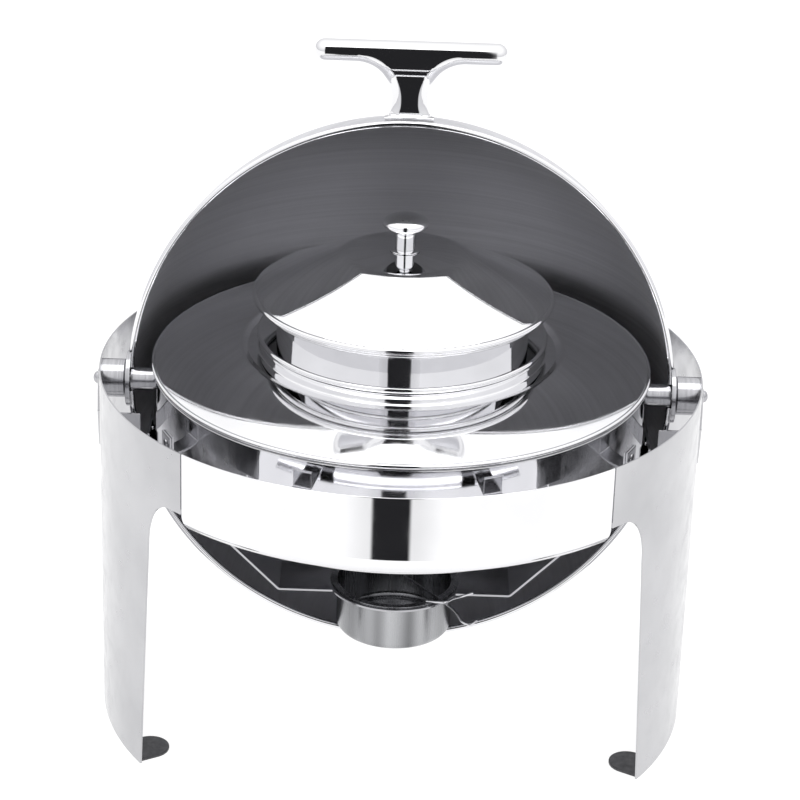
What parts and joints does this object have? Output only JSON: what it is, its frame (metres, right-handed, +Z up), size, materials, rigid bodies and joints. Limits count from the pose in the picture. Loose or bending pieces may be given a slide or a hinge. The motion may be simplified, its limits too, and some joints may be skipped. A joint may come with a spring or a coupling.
{
  "type": "roll top chafer",
  "caption": "Round roll top soup chafer: hemispherical lid on side hinges over a lift-out soup pot, water pan and fuel cup in a panelled steel frame.",
  "frame": {"origin": "centre of the footprint on the table, under the pot's axis", "axes": "+Z up, -Y to the serving side, +X along the roll top's hinge axis"},
  "size_m": [0.513, 0.5, 0.5712],
  "materials": {
    "mirror_steel": "mirror polished stainless steel",
    "leg_steel": "bright polished stainless steel, slightly soft",
    "dome_steel": "satin brushed stainless steel",
    "dull_steel": "plain rolled stainless steel",
    "turned_steel": "turned stainless steel",
    "foot_steel": "dark satin stainless steel",
    "handle_chrome": "chrome plated casting",
    "brushed_cup": "vertically brushed stainless steel",
    "wire_steel": "bright drawn wire",
    "bumper_rubber": "matt black rubber"
  },
  "bodies": {
    "frame": {"front_panel": "mirror_steel", "rear_panel": "mirror_steel", "leg_panel_left": "leg_steel", "leg_panel_right": "leg_steel", "splice_plates": "dull_steel", "foot_front_left": "foot_steel", "foot_front_right": "foot_steel", "foot_rear_left": "foot_steel", "foot_rear_right": "foot_steel", "hinge_cover_left": "leg_steel", "hinge_cover_right": "leg_steel", "pivot_pin_left": "turned_steel", "pivot_pin_right": "turned_steel", "outer_bosses": "turned_steel", "hinge_washers": "turned_steel", "inner_sleeves": "turned_steel", "lid_stops": "dull_steel", "stop_bumpers": "bumper_rubber", "well": "mirror_steel", "well_brackets": "dull_steel", "bracket_rivets": "turned_steel", "water_pan": "dull_steel", "burner_strap": "dull_steel", "strap_rivets": "turned_steel"},
    "roll_top": {"roll_top_dome": "dome_steel", "rim_bead": "mirror_steel", "hinge_ear_left": "turned_steel", "hinge_ear_right": "turned_steel", "handle": "handle_chrome", "handle_pad": "handle_chrome", "handle_screws": "turned_steel"},
    "adaptor_plate": {"adaptor": "mirror_steel", "adaptor_bead": "mirror_steel"},
    "pot": {"soup_pot": "mirror_steel", "pot_flange": "mirror_steel", "pot_rim_bead": "mirror_steel"},
    "pot_cover": {"pot_lid": "mirror_steel", "pot_lid_bead": "mirror_steel", "knob_washer": "mirror_steel", "knob_stem": "mirror_steel", "knob_cap": "mirror_steel", "knob_screw": "turned_steel"},
    "fuel_holder": {"fuel_cup": "brushed_cup", "cup_handle": "wire_steel"}
  },
  "joints": [
    {"name": "roll_top_roll", "type": "hinge", "parent": "frame", "child": "roll_top", "pos_m": [0, 0, 0.287], "axis": [1, 0, 0], "range_deg": [0, 94.46]},
    {"name": "adaptor_lift", "type": "slide", "parent": "frame", "child": "adaptor_plate", "axis": [0, 0, 1], "range_m": [0, 0.012]},
    {"name": "pot_lift", "type": "slide", "parent": "adaptor_plate", "child": "pot", "axis": [0, 0, 1], "range_m": [0, 0.024]},
    {"name": "pot_cover_lift", "type": "slide", "parent": "pot", "child": "pot_cover", "axis": [0, 0, 1], "range_m": [0, 0.028]},
    {"name": "fuel_holder_lift", "type": "slide", "parent": "frame", "child": "fuel_holder", "axis": [0, 0, 1], "range_m": [0, 0.04]}
  ]
}
